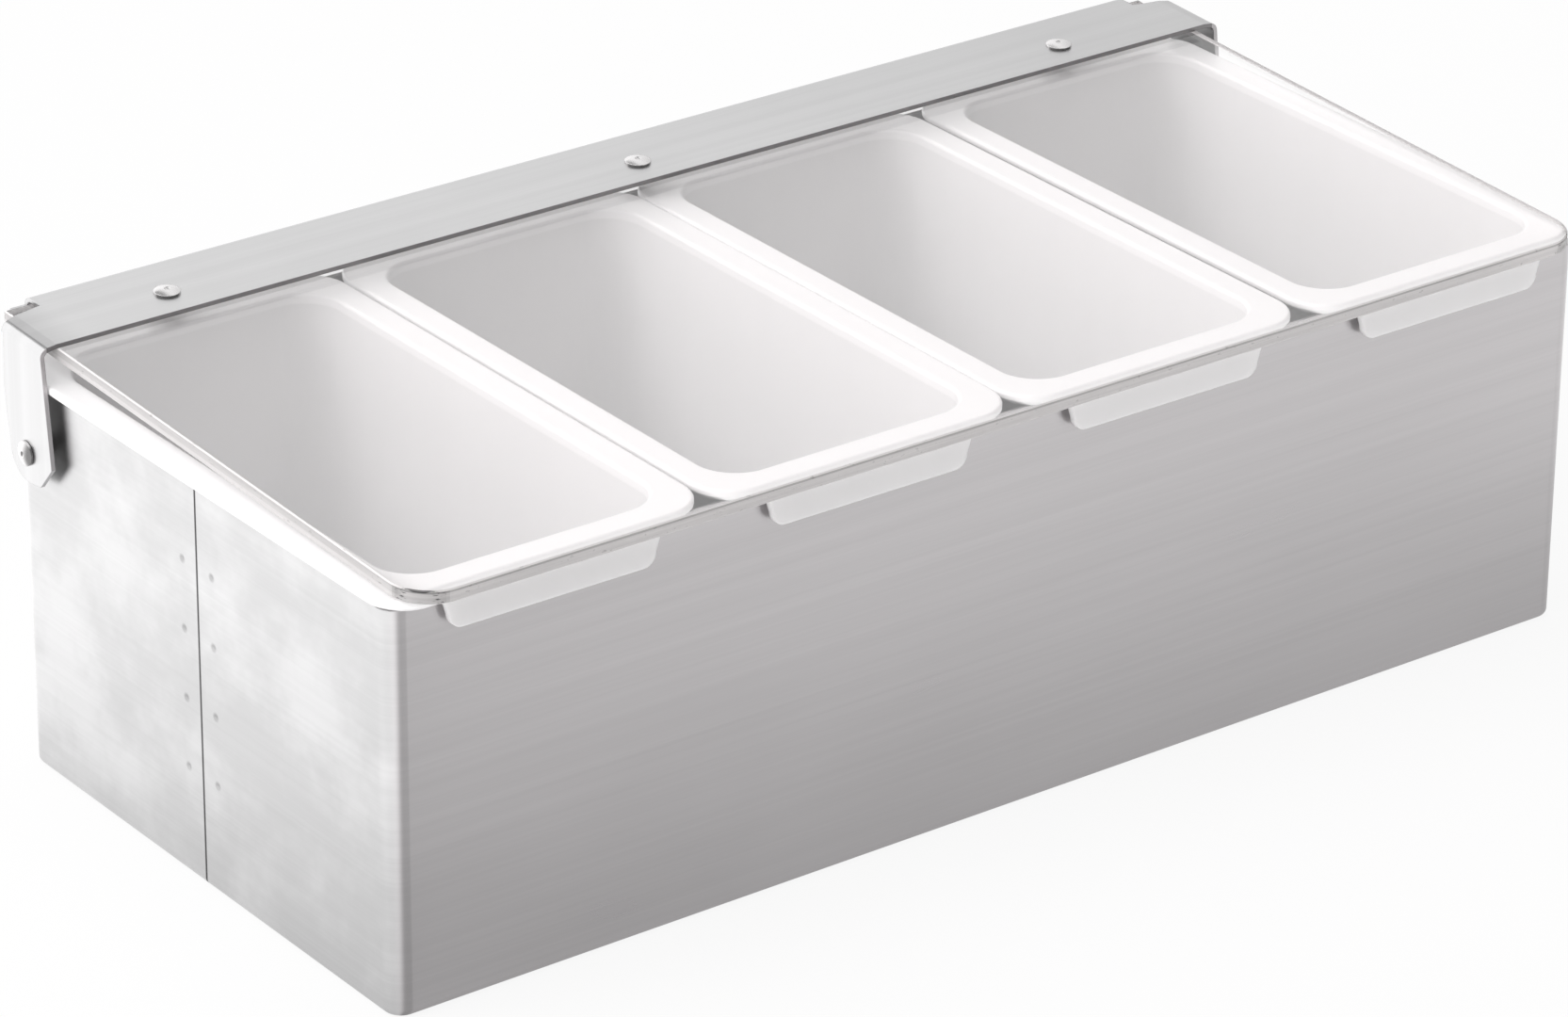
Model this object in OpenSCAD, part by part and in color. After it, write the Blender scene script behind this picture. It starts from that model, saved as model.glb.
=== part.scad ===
// Condiment holder: a folded steel box, four lift-out plastic inserts and a hinged clear lid.
// X runs along the box, the front faces -Y, +Z is up. The origin is under the middle of the box.

/* [Box] */
// Outer length of the steel box
box_l = 305; // [260:1:360]
// Outer depth of the steel box, front to back
box_d = 137; // [130:1:160]
// Height of the steel box to its top edge
box_h = 88.8; // [80:0.1:110]
// Steel sheet of the box
sheet = 0.8; // [0.6:0.1:1.2]
// Outer radius of the upright corner bends
corner_r = 4.2; // [3:0.1:8]
// Outer radius of the bend along the bottom edges
foot_r = 1.6; // [1.3:0.1:2.5]
// Width of the lip that each shell turns in under the floor
foot_lip = 9; // [6:0.5:14]
// Open line between the front and the rear shell on both ends
seam_gap = 0.3; // [0.1:0.1:0.6]
// Number of spot welds in each upright row beside a seam
weld_n = 4; // [2:1:5]
// Height of the lowest spot weld
weld_low = 25; // [15:1:30]
// Distance from one spot weld to the next
weld_pitch = 15.5; // [8:0.5:16]
// Distance of each row of spot welds from the seam
weld_off = 5.4; // [3:0.2:6]
// Diameter of the dent of a spot weld
weld_dia = 1.5; // [1:0.1:2.5]
// Depth of the dent
weld_dent = 0.25; // [0.1:0.05:0.4]

/* [Straps and floor] */
// Width of the strap spot-welded behind each seam
strap_w = 18; // [12:1:26]
// Sheet of the strap
strap_t = 0.8; // [0.6:0.1:1.2]
// How far the strap ends below the top edge of the box
strap_drop = 5; // [4:1:12]
// Sheet of the floor pan
pan_t = 0.8; // [0.6:0.1:1.2]
// Height of the floor pan's turned-up edge
pan_rim = 7; // [4:0.5:12]
// Clearance between the floor pan and the shells round it
pan_fit = 0.1; // [0.05:0.05:0.3]

/* [Inserts] */
// How far the row of rims passes each end of the box
row_over = 0.2; // [0:0.1:0.6]
// Gap between neighbouring rims
rim_gap = 1; // [0.5:0.1:1.5]
// How far the row has slid along the box
row_slide = -1.2; // [-1.3:0.1:1.3]
// How far the rims stand out over the front wall
rim_over = 2.9; // [2.5:0.1:3.2]
// How far the rims stop short of the rear wall's outer face
rim_short = 0.4; // [0:0.1:0.6]
// Thickness of the rim
rim_t = 2.6; // [2.2:0.1:3.5]
// Outer corner radius of the rim
rim_r = 9.5; // [8.5:0.5:12]
// Rounding of the rim's upper edges
rim_edge = 0.7; // [0.4:0.1:0.9]
// Slope cut under the rim's outer edge
rim_under = 1.2; // [0.8:0.1:1.3]
// Width of the rim on the left and right of the opening
rim_side = 6.5; // [6:0.1:8]
// Width of the rim in front of the opening
rim_front = 6.4; // [6:0.2:8]
// Width of the rim behind the opening
rim_rear = 8; // [7:0.2:10]
// Corner radius of the opening
mouth_r = 9; // [8.5:0.5:12]
// Height of an insert's underside above the floor pan
tub_lift = 6; // [2:0.5:30]
// How much each wall leans in from top to bottom
tub_draft = 4.5; // [2:0.5:6]
// Wall of an insert
tub_wall = 1.6; // [1.2:0.1:2]
// Radius between the walls and the floor of an insert
tub_foot = 3.5; // [2.5:0.5:4]

/* [Lift tabs] */
// Width of the tab at its lower end
tab_w = 48.4; // [36:0.2:56]
// How much wider the tab is where it joins the rim
tab_flare = 2.4; // [0:0.2:4]
// How far the tab hangs below the rim
tab_h = 5.6; // [4:0.2:10]
// Thickness of the tab
tab_t = 1.5; // [1.2:0.1:1.8]
// Radius of the tab's lower corners
tab_r = 3; // [1.5:0.5:4]

/* [Lid panel] */
// Thickness of the clear lid
lid_t = 3; // [2:0.5:4]
// Space between the ends of the lid and the arms of the hinge bar
lid_end_gap = 4.1; // [4:0.1:8]
// How far the lid sits off the middle of its bar
lid_shift = -0.9; // [-1:0.1:1]
// How far the lid stands out over the front wall
lid_over = 7.3; // [4:0.1:12]
// Radius of the lid's front corners
lid_r = 9.5; // [4:0.5:14]
// Slope of the closed lid, down to the front
lid_tilt = 2.1; // [1:0.1:3]
// Gap left between the closed lid and the front of the rims
lid_rest = 0.3; // [0.1:0.1:0.5]
// Space between the back edge of the lid and the hinge bar's flange
lid_back_gap = 1.5; // [1.2:0.1:3]

/* [Hinge bar] */
// Steel sheet of the hinge bar
bar_t = 1; // [0.8:0.1:1.4]
// Depth of the bar's top, front edge to back
bar_w = 23.4; // [20:0.1:28]
// Outer radius of the bar's bends
bar_r = 2.2; // [1.8:0.1:3]
// Slope of the short strip of the bar's top before each end bend
ease_tilt = 8; // [2:1:10]
// Space between the bar's back flange and the rear wall
bar_back_gap = 7.2; // [4:0.1:9]
// Height of the bar's back flange
bar_flange = 9; // [5:0.5:11]
// Space between each arm and the end wall with the bar centred
side_gap = 1; // [0.9:0.1:2]
// How far the lid and its bar have slid along the box
lid_slide = -0.8; // [-0.8:0.1:0.8]
// Distance from each end of the bar to the end of its back flange
flange_in = 7; // [5:0.5:10]
// How far the flange passes the end of its own bend
flange_tip = 3.5; // [1:0.5:5]
// Depth of the relief notch at each back corner of the bar
notch_d = 6.1; // [4:0.1:7]
// How much nearer to the front the notch runs at its outer end
notch_slant = 2.2; // [0:0.2:2.6]

/* [Arms and pivots] */
// Height of the pivots below the top edge of the box
pivot_drop = 14.3; // [13:0.1:18]
// Distance of the pivots in front of the rear wall's outer face
pivot_in = 8.5; // [8:0.1:12]
// Radius of the arm's end round its pivot
arm_r = 6.4; // [5:0.1:7]
// How far the arm's front edge stands in front of the pivot at its foot
arm_front = 9.5; // [8:0.1:11]
// How far the arm's back edge stands behind the pivot at its top
arm_rear = 8.5; // [7.5:0.1:10]
// Diameter of the pivot rivet where the arm turns on it
pivot_dia = 3.8; // [3.4:0.1:4.2]
// Diameter of the pivot rivet in the wall
neck_dia = 2.8; // [2.4:0.1:3]
// Diameter of the pivot rivet's head
pivot_head = 5.4; // [5.2:0.1:7]
// Height of the pivot rivet's head
pivot_head_h = 1.1; // [0.9:0.1:2.4]
// Radial clearance between a rivet and its hole
rivet_fit = 0.05; // [0.03:0.01:0.1]
// Side play left between an arm and a pivot head when the bar has slid fully over
slide_room = 0.1; // [0.1:0.1:0.4]

/* [Lid rivets] */
// Distance of the outer lid rivets from the ends of the lid
rivet_in = 32.2; // [12:0.2:60]
// Distance of the lid rivets behind the bar's front edge
rivet_edge = 8.4; // [5:0.1:12]
// Diameter of a lid rivet's shank
rivet_dia = 3.2; // [2.8:0.1:4]
// Diameter of a lid rivet's head
rivet_head = 5.7; // [5.2:0.1:7]
// Height of a lid rivet's head
rivet_head_h = 1; // [0.9:0.1:1.6]
// Height of a rivet head's straight side
head_side = 0.5; // [0.3:0.1:0.7]
// Diameter of the dimple in a rivet's head
dimple_dia = 1.4; // [0.8:0.1:2]
// Depth of the dimple
dimple_d = 0.3; // [0.1:0.1:0.5]
// Outer diameter of the washers under the lid
washer_dia = 8; // [7.6:0.2:10]
// Outer diameter of the washers behind the end walls
pivot_washer_dia = 6; // [5.6:0.1:6.2]
// Thickness of the washers
washer_t = 0.8; // [0.5:0.1:1.2]
// Diameter of the closed ends of the rivets
tail_dia = 5; // [4.6:0.1:6]
// Height of the closed ends of the rivets
tail_h = 0.9; // [0.7:0.1:1.2]

/* [Hidden] */
$fn = 48;

insert_n = 4;
eps = 0.01;      // how far a cut passes the face it leaves through

half_l = box_l / 2;
half_d = box_d / 2;

// The rims share the length of the row, and each tub hangs from its rim.
row_l = box_l + 2 * row_over;
rim_w = (row_l - (insert_n - 1) * rim_gap) / insert_n;
rim_z = box_h + rim_t;
rim_y0 = -half_d - rim_over;
rim_y1 = half_d - rim_short;
mouth_w = rim_w - 2 * rim_side;

// How far each insert lies off its even place, within the gaps between the rims.
row_play = rim_gap * [0, 0, -0.6, 0.2];

mouth_y0 = rim_y0 + rim_front;
mouth_y1 = rim_y1 - rim_rear;
tub_depth = rim_z - sheet - pan_t - tub_lift - tub_wall;

// The lid and its bar are drawn flat, with the lid's underside at z = 0 and y = 0 over the
// front edge of the rims, and are then tilted and set down there.
lid_y = rim_y0;
lid_z = rim_z + lid_rest;
lid_half = half_l + side_gap - lid_end_gap;
lid_front = -(lid_over - rim_over);
bar_top = lid_t + bar_t;
bar_back = half_d + bar_back_gap + bar_t - lid_y;
bar_front = bar_back - bar_w;
lid_back = bar_back - bar_t - lid_back_gap;
arm_in = half_l + side_gap;
arm_out = arm_in + bar_t;
flange_half = arm_out - flange_in;
bend_half = flange_half - flange_tip;
rivet_y = bar_front + rivet_edge;
ease_x = lid_half + abs(lid_shift) + 0.2;

// Place of each lid rivet along the bar, each a little off its even place as punched.
rivet_play = [-1, 0.4, -1.1];
function rivet_x(i) = lid_shift + i * (lid_half - rivet_in) + rivet_play[i + 1];

// The pivots, first on the box and then seen from the tilted lid.
pivot_y = half_d - pivot_in;
pivot_z = box_h - pivot_drop;
arm_py = cos(lid_tilt) * (pivot_y - lid_y) + sin(lid_tilt) * (pivot_z - lid_z);
arm_pz = cos(lid_tilt) * (pivot_z - lid_z) - sin(lid_tilt) * (pivot_y - lid_y);
shoulder_l = side_gap + abs(lid_slide) + bar_t + slide_room;

steel = [0.74, 0.74, 0.75];
plastic = [0.95, 0.95, 0.95];
clear = [0.82, 0.87, 0.9, 0.4];

// A block over the rectangle of half sides cx and cy, from low to high. Its outline is widened all
// round by the profile drawn as a child, with the distance outwards along X and the height along Y.
module widened(cx, cy, low, high) {
    translate([0, 0, (low + high) / 2])
        cube([2 * cx, 2 * cy, high - low], center = true);
    for (side = [0, 1])
        mirror([side, 0, 0])
            translate([cx, 0, 0])
                rotate([90, 0, 0])
                    linear_extrude(2 * cy, center = true)
                        children();
    for (side = [0, 1])
        mirror([0, side, 0])
            translate([0, cy, 0])
                rotate([90, 0, 90])
                    linear_extrude(2 * cx, center = true)
                        children();
    for (sx = [-1, 1])
        for (sy = [-1, 1])
            translate([sx * cx, sy * cy, 0])
                rotate_extrude()
                    children();
}

// The profile of a wall that leans from r_low to r_top over a foot of radius edge.
module wall_profile(r_low, r_top, low, high, edge) {
    polygon([[0, low + edge], [r_low, low + edge], [r_top, high], [0, high]]);
    translate([0, low])
        square([r_low - edge, edge]);
    intersection() {
        translate([r_low - edge, low + edge])
            circle(edge);
        translate([0, low])
            square([r_low, edge]);
    }
}

// The box as a solid, with its faces inset by so much.
module box_solid(inset, low, high) {
    r = corner_r - inset;
    widened(half_l - corner_r, half_d - corner_r, low, high)
        wall_profile(r, r, low, high, max(foot_r - inset, 0.3));
}

// The folded box, open at the top, with a lip turned in under the floor.
module box_walls() {
    difference() {
        box_solid(0, 0, box_h);
        box_solid(sheet, sheet, box_h + eps);
        translate([0, 0, sheet])
            cube([box_l - 2 * foot_lip, box_d - 2 * foot_lip, 4 * sheet], center = true);
    }
}

// The dents of one row of spot welds on each end wall.
module weld_row(y) {
    for (end = [-1, 1])
        for (i = [0 : weld_n - 1])
            translate([end * half_l, y, weld_low + i * weld_pitch])
                rotate([0, end * 90, 0])
                    rotate_extrude()
                        polygon([[0, -weld_dent], [weld_dia / 2, 0], [weld_dia / 2, 1], [0, 1]]);
}

// One half of the box: side is -1 for the front and 1 for the rear.
module shell_half(side) {
    depth = half_d + 1;
    difference() {
        intersection() {
            box_walls();
            translate([0, side * (seam_gap / 2 + depth / 2), box_h / 2])
                cube([box_l + 2, depth, box_h + 2], center = true);
        }
        weld_row(side * weld_off);
    }
}

module front_shell() {
    color(steel)
        shell_half(-1);
}

module rear_shell() {
    color(steel)
        difference() {
            shell_half(1);
            for (side = [-1, 1])
                translate([side * (half_l - sheet / 2), pivot_y, pivot_z])
                    rotate([0, 90, 0])
                        cylinder(d = neck_dia + 2 * rivet_fit, h = 4 * sheet, center = true);
        }
}

module bottom_pan() {
    inset = sheet + pan_fit;
    color(steel)
        difference() {
            box_solid(inset, sheet, sheet + pan_rim);
            box_solid(inset + pan_t, sheet + pan_t, sheet + pan_rim + eps);
        }
}

module seam_strap(side) {
    low = sheet + pan_rim + 1;
    high = box_h - strap_drop;
    color(steel)
        translate([side * (half_l - sheet - strap_t / 2), 0, (low + high) / 2])
            cube([strap_t, strap_w, high - low], center = true);
}

// The hollow of an insert, grown by so much on all sides, from its floor up to high.
module tub_solid(grow, high) {
    low = rim_z - tub_depth - grow;
    r_low = mouth_r - tub_draft + grow;
    r_high = r_low + tub_draft * (high - low) / tub_depth;
    widened(mouth_w / 2 - mouth_r, (mouth_y1 - mouth_y0) / 2 - mouth_r, low, high)
        wall_profile(r_low, r_high, low, high, tub_foot + grow);
}

// The rim, rounded above and sloped away beneath its outer edge.
module rim_solid() {
    turn = rim_z - rim_edge;
    widened(rim_w / 2 - rim_r, (rim_y1 - rim_y0) / 2 - rim_r, box_h, rim_z) {
        union() {
            polygon([
                [0, box_h], [rim_r - rim_under, box_h], [rim_r, box_h + rim_under],
                [rim_r, turn], [rim_r - rim_edge, turn], [rim_r - rim_edge, rim_z], [0, rim_z]
            ]);
            translate([rim_r - rim_edge, turn])
                circle(rim_edge);
        }
    }
}

// The mouth's rounded lead-in, cut into the top of the rim.
module mouth_lead() {
    r = mouth_r + rim_edge;
    low = rim_z - rim_edge;
    widened(mouth_w / 2 - mouth_r, (mouth_y1 - mouth_y0) / 2 - mouth_r, low, rim_z + 1)
        difference() {
            translate([0, low])
                square([r, rim_edge + 1]);
            translate([r, low])
                circle(rim_edge);
        }
}

// The lift tab on the front of the rim, with slanting ends and rounded lower corners.
module lift_tab() {
    low = box_h - tab_h;
    high = box_h + rim_under;
    w0 = tab_w / 2;
    w1 = w0 + tab_flare / 2;
    translate([0, rim_y0 + tab_t, 0])
        rotate([90, 0, 0])
            linear_extrude(tab_t)
                union() {
                    polygon([[w0, low + tab_r], [w1, high], [-w1, high], [-w0, low + tab_r]]);
                    translate([-w0 + tab_r, low])
                        square([2 * (w0 - tab_r), 2 * tab_r]);
                    for (side = [-1, 1])
                        translate([side * (w0 - tab_r), low + tab_r])
                            circle(tab_r);
                }
}

module insert(i) {
    x = row_slide + row_play[i] + (i - (insert_n - 1) / 2) * (rim_w + rim_gap);
    mouth_y = (mouth_y0 + mouth_y1) / 2;
    color(plastic)
        translate([x, 0, 0])
            difference() {
                union() {
                    translate([0, (rim_y0 + rim_y1) / 2, 0])
                        rim_solid();
                    translate([0, mouth_y, 0])
                        tub_solid(tub_wall, box_h + rim_t / 2);
                    lift_tab();
                }
                translate([0, mouth_y, 0])
                    tub_solid(0, rim_z + eps);
                translate([0, mouth_y, 0])
                    mouth_lead();
            }
}

// Radius of the sphere that a cap of that width and height is cut from.
function cap_radius(dia, high) = (dia * dia / 4 + high * high) / (2 * high);

// A rivet standing along z: its head's underside is at z = 0 and the shank goes down.
// shank lists [radius, length] from the head to the closed end.
module rivet(head_d, head_h, shank) {
    dome = cap_radius(head_d, head_h - head_side);
    dent = cap_radius(dimple_dia, dimple_d);
    two = len(shank) > 1;
    d1 = shank[0][1];
    d2 = d1 + (two ? shank[1][1] : 0);
    difference() {
        intersection() {
            cylinder(d = head_d, h = head_h);
            translate([0, 0, head_h - dome])
                sphere(dome, $fn = 96);
        }
        translate([0, 0, head_h - dimple_d + dent])
            sphere(dent);
    }
    translate([0, 0, -d1])
        cylinder(r = shank[0][0], h = d1 + head_side / 2);
    if (two)
        translate([0, 0, -d2])
            cylinder(r = shank[1][0], h = d2 - d1 + eps);
    rotate_extrude()
        translate([0, -d2 - tail_h])
            polygon([[0, 0], [tail_dia / 2 - tail_h / 3, 0], [tail_dia / 2, tail_h / 3],
                [tail_dia / 2, tail_h], [0, tail_h]]);
}

module washer(dia, hole) {
    difference() {
        cylinder(d = dia, h = washer_t);
        translate([0, 0, -1])
            cylinder(d = hole, h = washer_t + 2);
    }
}

// Turns a piece drawn along z to point outwards at one end of the box: side is -1 or 1.
module at_pivot(side, x) {
    translate([side * x, pivot_y, pivot_z])
        rotate([0, side * 90, 0])
            children();
}

module pivot_rivet(side) {
    color(steel)
        at_pivot(side, half_l + shoulder_l)
            rivet(pivot_head, pivot_head_h,
                [[pivot_dia / 2, shoulder_l], [neck_dia / 2, sheet + washer_t]]);
}

module pivot_washer(side) {
    color(steel)
        at_pivot(side, half_l - sheet - washer_t)
            washer(pivot_washer_dia, neck_dia + 2 * rivet_fit);
}

// Sets a piece of the lid down on the rims, tilted.
module on_lid() {
    translate([lid_slide, lid_y, lid_z])
        rotate([lid_tilt, 0, 0])
            children();
}

// The side view of the bar: the top strip, and the arm down to its pivot.
module bar_side() {
    foot = arm_pz - arm_r;
    low_bend = bar_top - bar_r;
    union() {
        polygon([
            [bar_back, bar_top + eps], [bar_front, bar_top + eps], [bar_front, low_bend],
            [arm_py - arm_front, arm_pz - 0.2], [arm_py - 0.8 * arm_r, foot + 0.6],
            [arm_py - 0.3 * arm_r, foot], [arm_py, foot], [arm_py + arm_r - 0.1, arm_pz],
            [arm_py + arm_rear - 0.9, arm_pz + 6], [arm_py + arm_rear, arm_pz + 12],
            [arm_py + arm_rear, low_bend], [bar_back - notch_d, low_bend + 0.2],
            [bar_back, low_bend + 0.2]
        ]);
        translate([arm_py, arm_pz])
            circle(arm_r);
    }
}

// The bar seen from the front as a solid down to low, with its faces inset by so much.
// The top slopes a little before it bends down into the arm.
module bar_block(inset, low) {
    r = bar_r - inset;
    turn_x = arm_out - bar_r;
    slope = tan(ease_tilt);
    meet_x = turn_x + bar_r * sin(ease_tilt);
    turn_z = bar_top - bar_r * cos(ease_tilt) - slope * (meet_x - ease_x);
    for (side = [0, 1])
        mirror([side, 0]) {
            polygon([
                [-eps, low], [arm_out - inset, low], [arm_out - inset, turn_z],
                [turn_x + r * sin(ease_tilt), turn_z + r * cos(ease_tilt)],
                [ease_x - inset * tan(ease_tilt / 2), bar_top - inset], [-eps, bar_top - inset]
            ]);
            translate([turn_x, turn_z])
                circle(r);
        }
}

// The bar seen from the front: a channel with rounded upper bends, open below.
module bar_channel() {
    low = arm_pz - arm_r - 1;
    difference() {
        bar_block(0, low);
        bar_block(bar_t, low - 1);
    }
}

// The back edge of the bar, bent down into a flange.
module bar_angle() {
    low = bar_top - bar_flange;
    turn = bar_back - bar_r;
    translate([turn - notch_d, lid_t])
        square([notch_d + eps, bar_t]);
    translate([bar_back - bar_t, low])
        square([bar_t, bar_flange - bar_r + eps]);
    translate([turn, bar_top - bar_r])
        intersection() {
            difference() {
                circle(bar_r);
                circle(bar_r - bar_t);
            }
            square([bar_r, bar_r]);
        }
}

// The relief notch behind one end of the bar, seen from above.
module bar_notch() {
    notch_y = bar_back - notch_d;
    end_x = arm_out + 1;
    polygon([
        [bend_half, notch_y], [end_x, notch_y - notch_slant],
        [end_x, bar_back + 1], [bend_half, bar_back + 1]
    ]);
}

module hinge_bar() {
    notch_y = bar_back - notch_d;
    color(steel)
        on_lid()
            difference() {
                union() {
                    intersection() {
                        translate([0, notch_y, 0])
                            rotate([90, 0, 0])
                                linear_extrude(bar_w + 10)
                                    bar_channel();
                        rotate([90, 0, 90])
                            linear_extrude(2 * arm_out + 2, center = true)
                                bar_side();
                    }
                    rotate([90, 0, 90])
                        linear_extrude(2 * flange_half, center = true)
                            bar_angle();
                }
                for (side = [0, 1])
                    mirror([side, 0, 0])
                        translate([0, 0, bar_top - bar_r])
                            linear_extrude(2 * bar_r)
                                bar_notch();
                for (side = [-1, 1])
                    translate([side * (arm_in + 1), arm_py, arm_pz])
                        rotate([0, 90, 0])
                            cylinder(d = pivot_dia + 2 * rivet_fit, h = 6, center = true);
                for (i = [-1, 0, 1])
                    translate([rivet_x(i), rivet_y, bar_top])
                        cylinder(d = rivet_dia + 2 * rivet_fit, h = 4 * bar_t, center = true);
            }
}

module lid_panel() {
    depth = lid_back - lid_front;
    color(clear)
        on_lid()
            difference() {
                translate([lid_shift, lid_front, 0])
                    union() {
                        translate([-lid_half, lid_r, 0])
                            cube([2 * lid_half, depth - lid_r, lid_t]);
                        translate([-lid_half + lid_r, 0, 0])
                            cube([2 * (lid_half - lid_r), lid_r + 1, lid_t]);
                        for (side = [-1, 1])
                            translate([side * (lid_half - lid_r), lid_r, 0])
                                cylinder(r = lid_r, h = lid_t);
                    }
                for (i = [-1, 0, 1])
                    translate([rivet_x(i), rivet_y, -1])
                        cylinder(d = rivet_dia + 2 * rivet_fit, h = lid_t + 2);
            }
}

module lid_rivet(i) {
    color(steel)
        on_lid()
            translate([rivet_x(i), rivet_y, bar_top])
                rivet(rivet_head, rivet_head_h, [[rivet_dia / 2, bar_top + washer_t]]);
}

module lid_washer(i) {
    color(steel)
        on_lid()
            translate([rivet_x(i), rivet_y, -washer_t])
                washer(washer_dia, rivet_dia + 2 * rivet_fit);
}

front_shell();
rear_shell();
bottom_pan();
seam_strap(-1);  // seam_strap_left
seam_strap(1);  // seam_strap_right
insert(0);  // insert_1
insert(1);  // insert_2
insert(2);  // insert_3
insert(3);  // insert_4
pivot_rivet(-1);  // pivot_rivet_left
pivot_rivet(1);  // pivot_rivet_right
pivot_washer(-1);  // pivot_washer_left
pivot_washer(1);  // pivot_washer_right
hinge_bar();
lid_panel();
lid_rivet(-1);  // lid_rivet_1
lid_rivet(0);  // lid_rivet_2
lid_rivet(1);  // lid_rivet_3
lid_washer(-1);  // lid_washer_1
lid_washer(0);  // lid_washer_2
lid_washer(1);  // lid_washer_3
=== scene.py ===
import math

import bmesh
import bpy
from mathutils import Matrix, Vector


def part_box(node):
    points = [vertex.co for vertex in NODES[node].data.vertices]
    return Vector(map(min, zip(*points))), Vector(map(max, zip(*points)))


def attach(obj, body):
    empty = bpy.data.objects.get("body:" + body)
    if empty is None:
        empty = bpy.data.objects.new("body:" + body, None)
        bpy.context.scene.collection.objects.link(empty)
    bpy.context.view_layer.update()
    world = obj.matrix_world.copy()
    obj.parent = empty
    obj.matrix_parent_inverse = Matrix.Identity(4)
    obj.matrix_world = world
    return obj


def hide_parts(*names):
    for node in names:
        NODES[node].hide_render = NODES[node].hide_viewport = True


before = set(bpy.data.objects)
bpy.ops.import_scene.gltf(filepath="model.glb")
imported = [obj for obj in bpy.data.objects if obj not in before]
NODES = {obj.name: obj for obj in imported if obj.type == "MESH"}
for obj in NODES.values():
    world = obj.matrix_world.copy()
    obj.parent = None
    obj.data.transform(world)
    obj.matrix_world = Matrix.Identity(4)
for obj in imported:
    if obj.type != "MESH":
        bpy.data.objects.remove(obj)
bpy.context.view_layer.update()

MM = 0.001

# The box's outer faces, the top of the rims and the bar's ends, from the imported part, in metres.
BOX_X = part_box("rear_shell")[1].x
BOX_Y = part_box("rear_shell")[1].y
RIM_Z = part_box("insert_1")[1].z
BAR_LEFT, BAR_RIGHT = (corner.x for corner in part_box("hinge_bar"))

# The rows of spot welds beside the seams, in millimetres: their distance from the seam and heights.
WELD_OFF, WELD_PITCH, WELD_LOW = 5.4, 15.5, 25.0
WELD_HIGH = WELD_LOW + 3 * WELD_PITCH

# The lid sheet in its own frame, in millimetres: its place, slope, outline, and its edges' chamfer.
LID_TILT = math.radians(2.1)
LID_PLACE = Vector((-1.7, -71.4, 91.7)) * MM
LID_HALF, LID_FRONT, LID_BACK, LID_T, LID_R = 149.4, -4.4, 145.6, 3.0, 9.5
LID_CUT = 0.30
RIVET_XS, RIVET_Y, RIVET_R = (-118.2, 0.4, 116.1), 133.1, 1.65
ON_LID = Matrix.Translation(LID_PLACE) @ Matrix.Rotation(LID_TILT, 4, "X")

# Node trees: a value is a socket or a number, and each helper adds the nodes for one step


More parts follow.
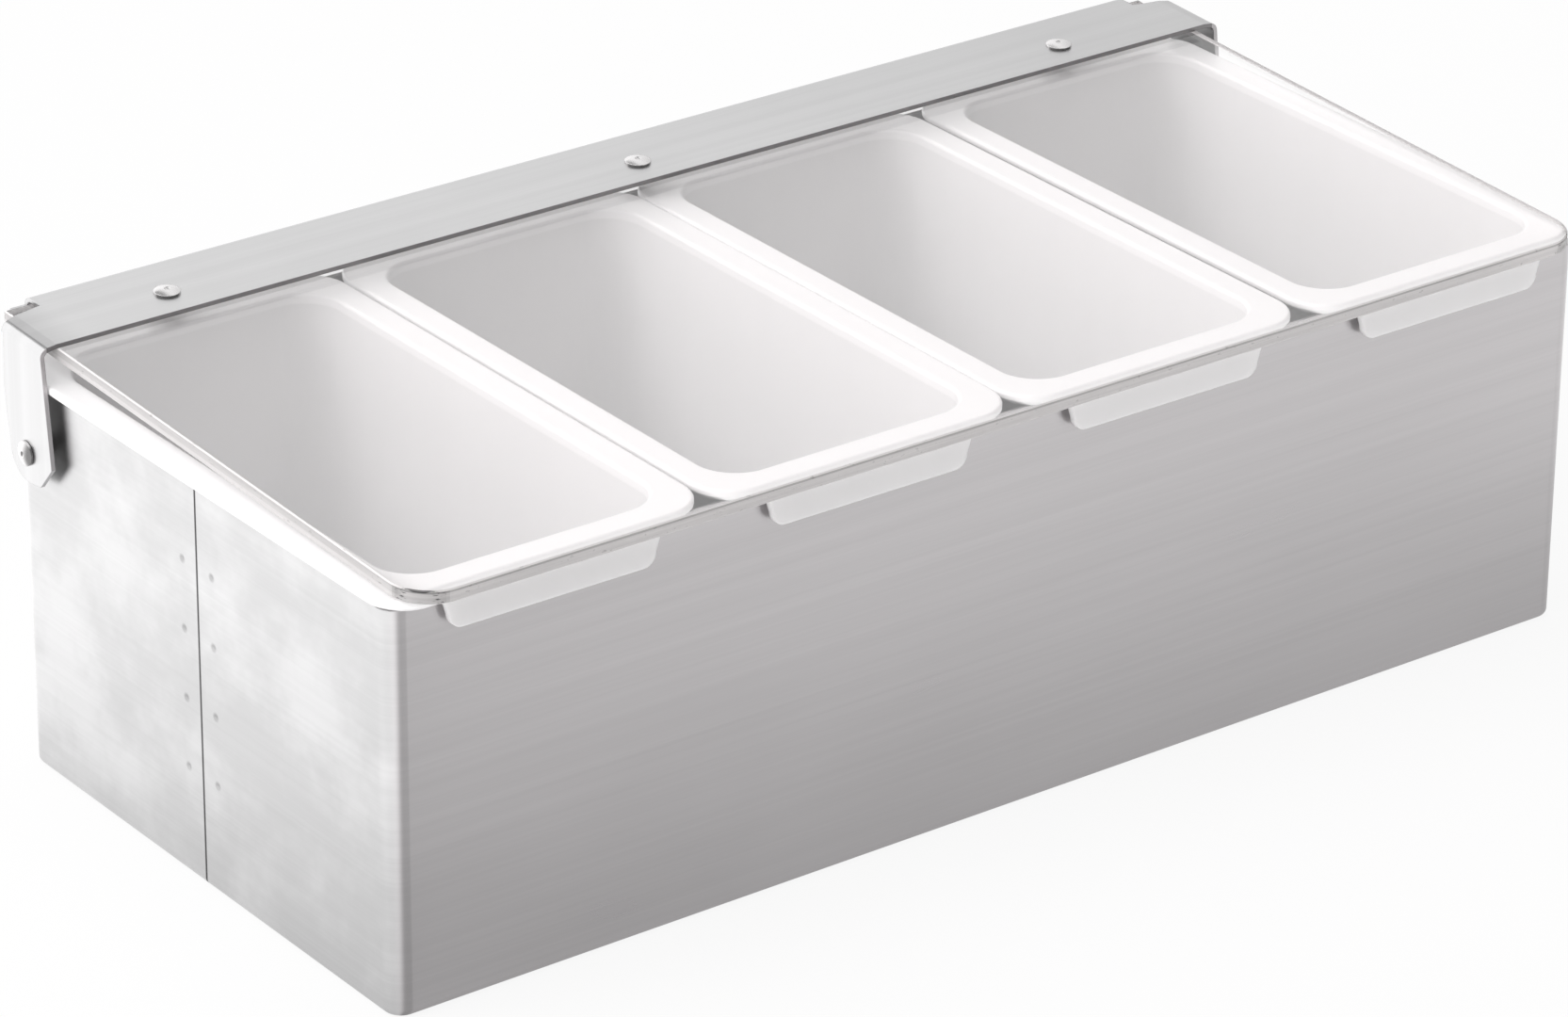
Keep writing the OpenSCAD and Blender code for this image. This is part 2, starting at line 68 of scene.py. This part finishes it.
class Tree:
    """A shader node tree with short calls for what the materials below use."""

    def __init__(self, owner):
        owner.use_nodes = True
        self.tree = owner.node_tree
        self.tree.nodes.clear()

    def node(self, kind, **settings):
        made = self.tree.nodes.new(kind)
        for name, value in settings.items():
            setattr(made, name, value)
        return made

    def put(self, value, socket):
        if isinstance(value, bpy.types.NodeSocket):
            self.tree.links.new(value, socket)
        else:
            socket.default_value = value

    def math(self, what, a, b=0.0, clamp=False):
        made = self.node("ShaderNodeMath", operation=what, use_clamp=clamp)
        for value, socket in zip((a, b), made.inputs):
            self.put(value, socket)
        return made.outputs[0]

    def add(self, a, b):
        return self.math("ADD", a, b)

    def sub(self, a, b):
        return self.math("SUBTRACT", a, b)

    def mul(self, a, b):
        return self.math("MULTIPLY", a, b)

    def most(self, a, b):
        return self.math("MAXIMUM", a, b)

    def far(self, value):
        """The distance from 0."""
        return self.math("ABSOLUTE", value)

    def ramp(self, value, low, high, out_low=0.0, out_high=1.0):
        """A smooth step from out_low at low to out_high at high."""
        made = self.node("ShaderNodeMapRange", interpolation_type="SMOOTHSTEP")
        for item, socket in zip((value, low, high, out_low, out_high), made.inputs):
            self.put(item, socket)
        return made.outputs[0]

    def mix(self, factor, a, b):
        """A grey value between a and b."""
        return self.add(self.mul(a, self.sub(1.0, factor)), self.mul(b, factor))

    def grey(self, value, tint=(1.0, 1.0, 1.0)):
        made = self.node("ShaderNodeCombineColor")
        for share, socket in zip(tint, made.inputs):
            self.put(value if share == 1.0 else self.mul(value, share), socket)
        return made.outputs[0]

    def xyz(self, source):
        made = self.node("ShaderNodeSeparateXYZ")
        self.put(source, made.inputs[0])
        return made.outputs

    def vec(self, x, y, z=0.0):
        made = self.node("ShaderNodeCombineXYZ")
        for value, socket in zip((x, y, z), made.inputs):
            self.put(value, socket)
        return made.outputs[0]

    def place(self):
        """The point in the piece's own frame, which is the part's frame at rest, in metres."""
        return self.node("ShaderNodeTexCoord").outputs["Object"]

    def facing(self):
        """The three parts of the direction in which the surface faces, in the piece's own frame."""
        return self.xyz(self.node("ShaderNodeTexCoord").outputs["Normal"])

    def rays(self, *kinds):
        """The outputs of a light path for these kinds of ray."""
        path = self.node("ShaderNodeLightPath")
        return [path.outputs["Is %s Ray" % kind] for kind in kinds]

    def blend(self, factor, a, b):
        made = self.node("ShaderNodeMixShader")
        for item, socket in zip((factor, a, b), made.inputs):
            self.put(item, socket)
        return made.outputs[0]

    def emission(self, value):
        made = self.node("ShaderNodeEmission")
        self.put(self.grey(value), made.inputs["Color"])
        return made.outputs[0]

    def noise(self, vector, scale, detail=2.0, rough=0.5):
        made = self.node("ShaderNodeTexNoise")
        self.put(vector, made.inputs["Vector"])
        made.inputs["Scale"].default_value = scale
        made.inputs["Detail"].default_value = detail
        made.inputs["Roughness"].default_value = rough
        return made.outputs["Fac"]

    def grain(self, parts, scales, detail=2.0, rough=0.5):
        """Noise with a scale of its own, per metre, along each part of a place."""
        stretched = self.vec(*(self.mul(part, scale) for part, scale in zip(parts, scales)))
        return self.noise(stretched, 1.0, detail, rough)

    def bump(self, height, strength, distance, normal=None):
        made = self.node("ShaderNodeBump")
        self.put(height, made.inputs["Height"])
        made.inputs["Strength"].default_value = strength
        made.inputs["Distance"].default_value = distance
        if normal is not None:
            self.put(normal, made.inputs["Normal"])
        return made.outputs[0]

    def rounded(self, radius):
        made = self.node("ShaderNodeBevel", samples=6)
        made.inputs["Radius"].default_value = radius
        return made.outputs[0]

    def between(self, factor, a, b):
        """A colour between a and b."""
        made = self.node("ShaderNodeMix", data_type="RGBA")
        for item, name in ((factor, "Factor"), (a, "A"), (b, "B")):
            self.put(item, made.inputs[name])
        return made.outputs["Result"]

    def tinted(self, tone, low, high, factor):
        """A grey tone between two tints."""
        return self.between(factor, self.grey(tone, low), self.grey(tone, high))

    def shader(self, **inputs):
        made = self.node("ShaderNodeBsdfPrincipled")
        for name, value in inputs.items():
            self.put(value, made.inputs[name.replace("_", " ")])
        return made.outputs[0]

    def end(self, surface, kind="Material"):
        self.put(surface, self.node("ShaderNodeOutput" + kind).inputs["Surface"])


def material(name):
    made = bpy.data.materials.new(name)
    return made, Tree(made)


# Materials

STEEL = 0.56
WARM, NEUTRAL = (1.0, 0.968, 0.980), (1.0, 0.995, 1.0)


def brushed_box():
    """Sheet brushed level round the box: fine streaks along each wall, soft clouding, small stains."""
    mat, t = material("box_steel")
    p = t.xyz(t.place())
    fine = t.grain(p, (9.0, 9.0, 1500.0), 3.0, 0.65)
    longer = t.grain(p, (3.0, 3.0, 420.0))
    cloud = t.grain(p, (14.0, 14.0, 30.0), 3.0, 0.55)
    tone = t.add(STEEL - 0.085, t.mul(fine, 0.07))
    tone = t.add(tone, t.mul(longer, 0.05))
    tone = t.add(tone, t.mul(cloud, 0.05))
    # The end walls are wiped and stained in soft patches, and each spot weld shows as a dull spot.
    end = t.ramp(t.far(p[0]), BOX_X - 2.5 * MM, BOX_X - 0.5 * MM)
    patch = t.grain(p, (2.0, 30.0, 34.0), 4.0, 0.62)
    tone = t.add(tone, t.mul(end, t.ramp(patch, 0.38, 0.66, -0.055, 0.035)))
    off = t.sub(t.far(p[1]), WELD_OFF * MM)
    rise = t.math("PINGPONG", t.sub(p[2], WELD_LOW * MM), WELD_PITCH / 2 * MM)
    spot = t.math("SQRT", t.add(t.mul(off, off), t.mul(rise, rise)))
    rows = t.mul(t.ramp(p[2], (WELD_HIGH + 2.0) * MM, (WELD_HIGH + 2.5) * MM, 1.0, 0.0),
                 t.ramp(p[2], (WELD_LOW - 1.5) * MM, (WELD_LOW - 1.0) * MM))
    weld = t.mul(t.ramp(spot, 0.5 * MM, 1.3 * MM, 1.0, 0.0), t.mul(end, rows))
    tone = t.sub(tone, t.mul(weld, 0.16))
    rough = t.add(0.24, t.add(t.mul(cloud, 0.10), t.mul(t.mul(end, patch), 0.06)))
    # The seam between the two halves is a dark line.
    seam = t.mul(t.ramp(t.far(p[1]), 0.28 * MM, 0.42 * MM, 1.0, 0.0), end)
    tone = t.mul(tone, t.mix(seam, 1.0, 0.30))
    # Painted shade: the upright bends are made darker where they meet the long walls, standing in for the
    # dark they reflect there.
    turn = t.far(t.facing()[0])
    bend_shade = t.mul(t.ramp(turn, 0.03, 0.12), t.ramp(turn, 0.35, 0.60, 1.0, 0.0))
    tone = t.mul(tone, t.mix(bend_shade, 1.0, 0.96))
    # Light spreads across the streaks, so up and down.
    normal = t.bump(fine, 0.10, 0.08 * MM, t.rounded(0.4 * MM))
    surface = t.shader(Base_Color=t.tinted(tone, WARM, NEUTRAL, end), Metallic=1.0, Roughness=rough,
                       Anisotropic=0.75, Tangent=t.vec(0.02, 0.02, 1.0), Normal=normal)
    t.end(surface)
    return mat


def brushed_bar():
    """The bar's sheet: streaks along its top and its back flange, and down its arms; dark cut edges."""
    mat, t = material("bar_steel")
    p = t.xyz(t.place())
    # The arms begin inside the bends. Their streaks run down and the others along.
    middle, half = (BAR_LEFT + BAR_RIGHT) / 2, (BAR_RIGHT - BAR_LEFT) / 2
    arm = t.math("GREATER_THAN", t.far(t.sub(p[0], middle)), half - 1.6 * MM)
    across = t.add(p[1], t.mul(p[2], t.sub(1.0, arm)))
    run = t.add(p[0], t.mul(p[2], arm))
    fine = t.grain((run, across), (8.0, 1500.0), 3.0, 0.65)
    band = t.grain((run, across), (2.0, 260.0))
    cloud = t.noise(t.place(), 30.0, 2.0, 0.5)
    tone = t.add(STEEL - 0.08, t.mul(fine, 0.06))
    tone = t.add(tone, t.mul(band, 0.08))
    # Front-facing cut edges are dull and dark, most of all the long one over the lid.
    facing = t.facing()
    cut_edge = t.math("LESS_THAN", facing[1], -0.8)
    tone = t.mul(tone, t.mix(cut_edge, 1.0, t.mix(arm, 0.42, 0.75)))
    # Painted shade: the top is made a little darker towards its right end, and just before the bend on the
    # left, where the sheet starts to curve.
    tone = t.mul(tone, t.ramp(p[0], 0.0, 160.0 * MM, 1.0, 0.95))
    bend_shade = t.ramp(p[0], BAR_LEFT + 1.8 * MM, BAR_LEFT + 12.8 * MM, 0.84, 1.0)
    tone = t.mul(tone, t.mix(arm, bend_shade, 1.0))
    # Painted shade and light: the arms' faces turned in towards the box are made much darker, standing in
    # for the dark gap between arm and wall, and the rest of each arm a little lighter.
    arm_gap_shade = t.ramp(t.mul(t.math("SIGN", p[0]), facing[0]), -0.8, -0.5, 1.0, 0.0)
    tone = t.mul(tone, t.mix(arm, 1.0, t.mix(arm_gap_shade, 1.07, 0.37)))
    rough = t.add(0.25, t.mul(cloud, 0.1))
    # Light spreads across the streaks, from front to back, also when the lid is up.
    move = t.node("ShaderNodeVectorTransform", vector_type="VECTOR", convert_from="OBJECT",
                  convert_to="WORLD")
    move.inputs[0].default_value = (0.0, 1.0, 0.05)
    normal = t.bump(fine, 0.10, 0.08 * MM, t.rounded(0.3 * MM))
    surface = t.shader(Base_Color=t.tinted(tone, NEUTRAL, WARM, cut_edge), Metallic=1.0, Roughness=rough,
                       Anisotropic=0.7, Tangent=move.outputs[0], Normal=normal)
    t.end(surface)
    return mat


def rivet_metal():
    """Pressed rivet heads and washers, a little scuffed, with painted shade on the steep side that faces
    the front.
    """
    mat, t = material("rivet_steel")
    spots = t.noise(t.place(), 900.0, 3.0, 0.6)
    facing = t.facing()
    # Painted shade: the steep side of each head that faces the front is darkened, standing in for the dark
    # it reflects.
    side = t.ramp(t.add(t.mul(facing[0], 0.5), t.mul(facing[1], 0.87)), -0.72, -0.42, 0.25, 1.0)
    tone = t.mul(t.add(0.64, t.mul(spots, 0.08)), side)
    t.end(t.shader(Base_Color=t.grey(tone, (1.0, 0.985, 0.985)), Metallic=1.0,
                   Roughness=t.add(0.20, t.mul(spots, 0.14)), Normal=t.rounded(0.3 * MM)))
    return mat


def white_plastic():
    """Moulded white plastic: smooth, slightly waxy, faint flow marks down the walls."""
    mat, t = material("white_plastic")
    p = t.xyz(t.place())
    flow = t.grain(p, (90.0, 90.0, 12.0))
    skin = t.noise(t.place(), 1400.0, 2.0, 0.5)
    normal = t.bump(t.add(t.mul(flow, 0.8), t.mul(skin, 0.2)), 0.12, 0.3 * MM, t.rounded(0.6 * MM))
    # Painted light: the thin rims and the tabs outside the box are made whiter than the walls, standing in
    # for light scattered through the thin plastic; the tabs also let light through.
    rim_painted_light = t.ramp(p[2], RIM_Z - 2.4 * MM, RIM_Z - 1.8 * MM)
    out = t.ramp(p[1], -BOX_Y - 0.7 * MM, -BOX_Y - 0.5 * MM, 1.0, 0.0)
    tab_painted_and_translucent = t.mul(out, t.sub(1.0, rim_painted_light))
    tone = t.add(t.add(0.86, t.mul(t.add(rim_painted_light, tab_painted_and_translucent), 0.09)), t.mul(flow, 0.03))
    t.end(t.shader(Base_Color=t.grey(tone, (1.0, 0.998, 1.0)), Roughness=t.add(0.30, t.mul(skin, 0.08)),
                   IOR=1.5, Normal=normal, Subsurface_Weight=t.mul(tab_painted_and_translucent, 0.5),
                   Subsurface_Scale=5.0 * MM, Subsurface_Radius=(1.0, 1.0, 1.0)))
    return mat


def clear_sheet():
    """The lid's faces: clear, polished, with a few hairline scratches. Light falls through it."""
    mat, t = material("clear_plastic")
    p = t.xyz(t.place())
    hair = t.grain((p[0], p[1]), (6.0, 900.0), 4.0, 0.7)
    rough = t.ramp(hair, 0.62, 0.75, 0.015, 0.09)
    glass = t.shader(Base_Color=(0.995, 0.988, 0.988, 1.0), Roughness=rough, IOR=1.49,
                     Transmission_Weight=1.0)
    clear = t.node("ShaderNodeBsdfTransparent")
    clear.inputs[0].default_value = (0.95, 0.945, 0.945, 1.0)
    t.end(t.blend(t.most(*t.rays("Shadow", "Diffuse")), glass, clear.outputs[0]))
    return mat


def sawn_edge():
    """The lid's cut edges: frosted, with fine saw lines along them, a painted highlight along the upper
    arris and a few dark nicks.
    """
    mat, t = material("clear_plastic_edge")
    p = t.xyz(t.place())
    # The height in the sheet, from its lower face.
    rise = t.mul(t.sub(p[2], LID_PLACE[2]), math.cos(LID_TILT))
    rise = t.sub(rise, t.mul(t.sub(p[1], LID_PLACE[1]), math.sin(LID_TILT)))
    facing = t.facing()
    front = t.ramp(facing[1], -0.50, -0.25, 1.0, 0.0)
    run = t.add(p[0], p[1])
    lines = t.grain((run, rise), (38.0, 2600.0), 3.0, 0.6)
    saw = t.grain((run, rise), (500.0, 900.0), 3.0, 0.7)
    low = t.ramp(rise, 1.1 * MM, 1.5 * MM, 1.0, 0.0)
    high = t.ramp(rise, (LID_T - 0.32) * MM, (LID_T - 0.25) * MM)
    # Painted light: the edge facing the front is given a lighter tone than the side edges.
    tone = t.add(t.mix(front, 0.34, 0.52), t.mul(lines, t.mix(front, 0.28, 0.34)))
    tone = t.add(tone, t.mul(saw, 0.08))
    tone = t.add(tone, t.mul(low, t.mix(front, 0.12, -0.03)))
    # Painted shade: a dark line lies just under the upper arris, deepest in front.
    arris_shade = t.mul(t.ramp(rise, (LID_T - 0.85) * MM, (LID_T - 0.55) * MM), t.sub(1.0, high))
    tone = t.sub(tone, t.mul(arris_shade, t.mix(front, 0.05, 0.28)))
    # Painted highlight: the upper arris is given a pale tone.
    tone = t.mix(high, tone, t.mix(front, 0.84, 0.85))
    # The round corners are darker, with more and deeper nicks.
    corner = t.ramp(t.far(t.mul(facing[0], facing[1])), 0.08, 0.25)
    tone = t.sub(tone, t.mul(corner, 0.20))
    nicks = t.ramp(saw, t.mix(corner, 0.62, 0.53), t.mix(corner, 0.68, 0.60))
    nicks = t.mul(nicks, t.mix(corner, 0.20, 0.50))
    tone = t.math("SUBTRACT", tone, nicks, clamp=True)
    normal = t.bump(saw, 0.30, 0.15 * MM)
    t.end(t.shader(Base_Color=t.grey(tone, (1.0, 0.978, 0.974)), Roughness=0.45, IOR=1.49,
                   Transmission_Weight=0.20, Normal=normal))
    return mat


CLEAR, EDGE = clear_sheet(), sawn_edge()

LOOKS = (
    (brushed_box(), ("front_shell", "rear_shell", "bottom_pan", "seam_strap_left", "seam_strap_right")),
    (brushed_bar(), ("hinge_bar",)),
    (rivet_metal(), ("pivot_rivet_left", "pivot_rivet_right", "pivot_washer_left", "pivot_washer_right",
                     "lid_rivet_1", "lid_rivet_2", "lid_rivet_3",
                     "lid_washer_1", "lid_washer_2", "lid_washer_3")),
    (white_plastic(), ("insert_1", "insert_2", "insert_3", "insert_4")),
    (CLEAR, ("lid_panel",)),
)
for look, names in LOOKS:
    for name in names:
        data = NODES[name].data
        data.materials.clear()
        data.materials.append(look)

# In the photograph the bar hardly shades the rims below it.
NODES["hinge_bar"].visible_shadow = False

# The clear lid: its own sheet with fine chamfers and sawn edges


def add_object(name, mesh):
    made = bpy.data.objects.new(name, mesh)
    bpy.context.scene.collection.objects.link(made)
    return made


def lid_outline(inset, steps=20):
    """The sheet's outline, anticlockwise from the back right corner, with round front corners."""
    r = LID_R - inset
    x, y0, y1 = LID_HALF - inset, LID_FRONT + inset, LID_BACK - inset
    ring = [(x, y1), (-x, y1)]
    for side in (-1, 1):
        cx, cy = side * (x - r), y0 + r
        start = 180 if side < 0 else 270
        for i in range(steps + 1):
            a = math.radians(start + 90 * i / steps)
            ring.append((cx + r * math.cos(a), cy + r * math.sin(a)))
    return ring


def lid_object(name, bm):
    """An object from this mesh, with clear faces in slot 0 and sawn edges in slot 1."""
    mesh = bpy.data.meshes.new(name)
    bm.to_mesh(mesh)
    bm.free()
    for look in (CLEAR, EDGE):
        mesh.materials.append(look)
    return add_object(name, mesh)


def make_lid():
    bm = bmesh.new()
    levels = [(LID_CUT, 0.0), (0.0, LID_CUT), (0.0, LID_T - LID_CUT), (LID_CUT, LID_T)]
    rings = [[bm.verts.new((x * MM, y * MM, z * MM)) for x, y in lid_outline(inset)] for inset, z in levels]
    for low, high in zip(rings, rings[1:]):
        for i in range(len(low)):
            j = (i + 1) % len(low)
            bm.faces.new((low[i], low[j], high[j], high[i])).material_index = 1
    bm.faces.new(list(reversed(rings[0])))
    bm.faces.new(rings[-1])
    bmesh.ops.recalc_face_normals(bm, faces=bm.faces)
    lid = lid_object("lid_sheet", bm)

    holes = bmesh.new()
    for x in RIVET_XS:
        place = Matrix.Translation(Vector((x, RIVET_Y, LID_T / 2)) * MM)
        bmesh.ops.create_cone(holes, cap_ends=True, segments=40, radius1=RIVET_R * MM,
                              radius2=RIVET_R * MM, depth=2 * LID_T * MM, matrix=place)
    for face in holes.faces:
        face.material_index = 1
    cutter = lid_object("lid_holes", holes)
    cut = lid.modifiers.new("holes", "BOOLEAN")
    cut.object = cutter
    cut.operation = "DIFFERENCE"
    cut.solver = "EXACT"
    bpy.context.view_layer.update()
    done = bpy.data.meshes.new_from_object(lid.evaluated_get(bpy.context.evaluated_depsgraph_get()))
    lid.modifiers.clear()
    lid.data = done
    bpy.data.objects.remove(cutter)
    done.transform(ON_LID)
    return lid


lid_sheet = make_lid()
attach(lid_sheet, "lid")
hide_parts("lid_panel")

# Camera, from the photograph's own perspective

AZIMUTH, ELEVATION, ROLL, PAN, TILT = (math.radians(a) for a in (-37.17, 25.35, 0.62, 0.30, 0.20))
AIM, DISTANCE = Vector((0.0, 0.0, 0.05)), 1.43215
FOCAL_PX, WIDTH_PX, HEIGHT_PX, SENSOR = 7199.8, 1665.0, 1080.0, 36.0
CENTRE_U, CENTRE_V = 824.78, 527.42


def make_camera():
    away = Vector((math.sin(AZIMUTH) * math.cos(ELEVATION), -math.cos(AZIMUTH) * math.cos(ELEVATION),
                   math.sin(ELEVATION)))
    right = Vector((math.cos(AZIMUTH), math.sin(AZIMUTH), 0.0))
    up = away.cross(right)
    back = (away + math.tan(PAN) * right + math.tan(TILT) * up).normalized()
    right = (right - right.dot(back) * back).normalized()
    up = back.cross(right)
    level = math.cos(ROLL) * right + math.sin(ROLL) * up
    plumb = -math.sin(ROLL) * right + math.cos(ROLL) * up
    data = bpy.data.cameras.new("camera")
    data.sensor_fit = "HORIZONTAL"
    data.sensor_width = SENSOR
    data.lens = SENSOR * FOCAL_PX / WIDTH_PX
    data.shift_x = (WIDTH_PX / 2 - CENTRE_U) / WIDTH_PX
    data.shift_y = (CENTRE_V - HEIGHT_PX / 2) / WIDTH_PX
    data.clip_start = 0.05
    data.clip_end = 60.0
    place = Matrix((level, plumb, back)).transposed().to_4x4()
    place.translation = AIM + DISTANCE * away
    camera = add_object("camera", data)
    camera.matrix_world = place
    bpy.context.scene.camera = camera


make_camera()

# Stage and light: a white table, bright to the left and behind, calmer in front

TABLE_HALF = 12.0


def make_floor():
    mat, t = material("floor")
    p = t.xyz(t.place())
    # What the metal sees of the table: bright to the left and behind, duller in front, and a darker
    # strip towards the camera, which shows in the front corner bend.
    gap_x = t.most(t.sub(t.far(p[0]), BOX_X), 0.0)
    gap_y = t.most(t.sub(t.far(p[1]), BOX_Y), 0.0)
    gap = t.math("SQRT", t.add(t.mul(gap_x, gap_x), t.mul(gap_y, gap_y)))
    close = t.mul(t.ramp(p[1], -0.07, 0.13, 1.12, 1.50), t.ramp(gap, 0.0, 0.03, 0.86, 1.0))
    left = t.mix(t.ramp(gap, 0.062, 0.092), close, 1.66)
    front = t.mul(t.ramp(gap, 0.0, 0.17, 0.64, 1.02), t.ramp(p[0], -0.16, 0.20, 0.92, 1.06))
    # The direction from the box's front left bend tells which wall sees this spot.
    angle = t.math("ARCTAN2", t.add(p[1], BOX_Y - 2.5 * MM), t.add(p[0], BOX_X - 2.5 * MM))
    turned = t.ramp(angle, -2.40, -1.62, 1.0, 0.0)
    behind = t.ramp(angle, 0.0, 1.0)
    towards = t.mul(t.ramp(angle, -2.15, -1.75), t.ramp(angle, -1.20, -0.94, 1.0, 0.0))
    seen = t.mix(t.most(turned, behind), t.mul(front, t.mix(towards, 1.0, 0.80)), left)
    camera, transmission, glossy, diffuse = t.rays("Camera", "Transmission", "Glossy", "Diffuse")
    direct = t.most(camera, transmission)
    table = t.node("ShaderNodeBsdfDiffuse")
    table.inputs["Color"].default_value = (0.82, 0.82, 0.82, 1.0)
    share = t.math("MINIMUM", t.add(t.mul(direct, 0.90), glossy), 1.0)
    white = t.blend(share, table.outputs[0], t.emission(t.mix(direct, seen, 1.0)))
    # The lit table throws light up at the lift tabs.
    both = t.node("ShaderNodeAddShader")
    t.put(white, both.inputs[0])
    t.put(t.emission(t.mul(diffuse, 0.55)), both.inputs[1])
    t.end(both.outputs[0])
    mesh = bpy.data.meshes.new("floor")
    corners = [(x * TABLE_HALF, y * TABLE_HALF, 0.0) for x, y in ((-1, -1), (1, -1), (1, 1), (-1, 1))]
    mesh.from_pydata(corners, [], [(0, 1, 2, 3)])
    mesh.materials.append(mat)
    floor = add_object("floor", mesh)
    floor.location = (0.0, 0.0, -0.2 * MM)


def make_world():
    world = bpy.data.worlds.new("World")
    bpy.context.scene.world = world
    t = Tree(world)
    d = t.xyz(t.node("ShaderNodeTexCoord").outputs["Generated"])
    # What the metal and the lid reflect: bright on the left, less to the right and towards the camera.
    sweep = t.add(1.70, t.add(t.mul(d[0], -1.22), t.mul(d[1], 0.20)))
    sweep = t.math("MINIMUM", t.most(sweep, 0.65), 1.65)
    towards = t.add(t.mul(d[0], -0.6), t.mul(d[1], -0.8))
    sweep = t.mul(sweep, t.ramp(towards, 0.45, 0.85, 1.0, 0.60))
    # A dark gap between the bright screens on the left and behind draws the line along the bar's bend.
    gap = t.mul(t.ramp(d[0], -0.10, 0.02), t.ramp(d[0], 0.14, 0.38, 1.0, 0.0))
    gap = t.mul(gap, t.ramp(d[2], 0.50, 0.58))
    sweep = t.mul(sweep, t.mix(gap, 1.0, 0.12))
    # What lights the dull surfaces: soft, a little warm, most of it from the left.
    left = t.mul(t.most(t.mul(d[0], -1.0), 0.0), 1.20)
    front = t.mul(t.most(t.mul(d[1], -1.0), 0.0), -0.50)
    soft = t.most(t.add(0.50, t.add(left, front)), 0.0)
    camera, transmission, glossy = t.rays("Camera", "Transmission", "Glossy")
    direct = t.most(camera, transmission)
    seen = t.grey(t.mix(direct, sweep, 1.0))
    sky = t.node("ShaderNodeBackground")
    t.put(t.between(t.most(glossy, direct), t.grey(soft, (1.0, 0.972, 0.975)), seen), sky.inputs["Color"])
    t.end(sky.outputs[0], "World")


def soft_light(name, place, width, height, power):
    """An area lamp aimed at the middle of the part, which no reflection shows."""
    data = bpy.data.lights.new(name, "AREA")
    data.shape = "RECTANGLE"
    data.size, data.size_y, data.energy = width, height, power
    lamp = add_object(name, data)
    lamp.location = place
    lamp.rotation_euler = (AIM - Vector(place)).to_track_quat("-Z", "Y").to_euler()
    lamp.visible_glossy = False
    lamp.visible_transmission = False


make_floor()
make_world()
soft_light("key", (-1.3, 0.45, 1.5), width=1.4, height=1.2, power=17.0)
soft_light("over", (0.15, 0.25, 2.2), width=1.2, height=1.0, power=12.0)

bpy.context.scene.view_settings.view_transform = "Standard"
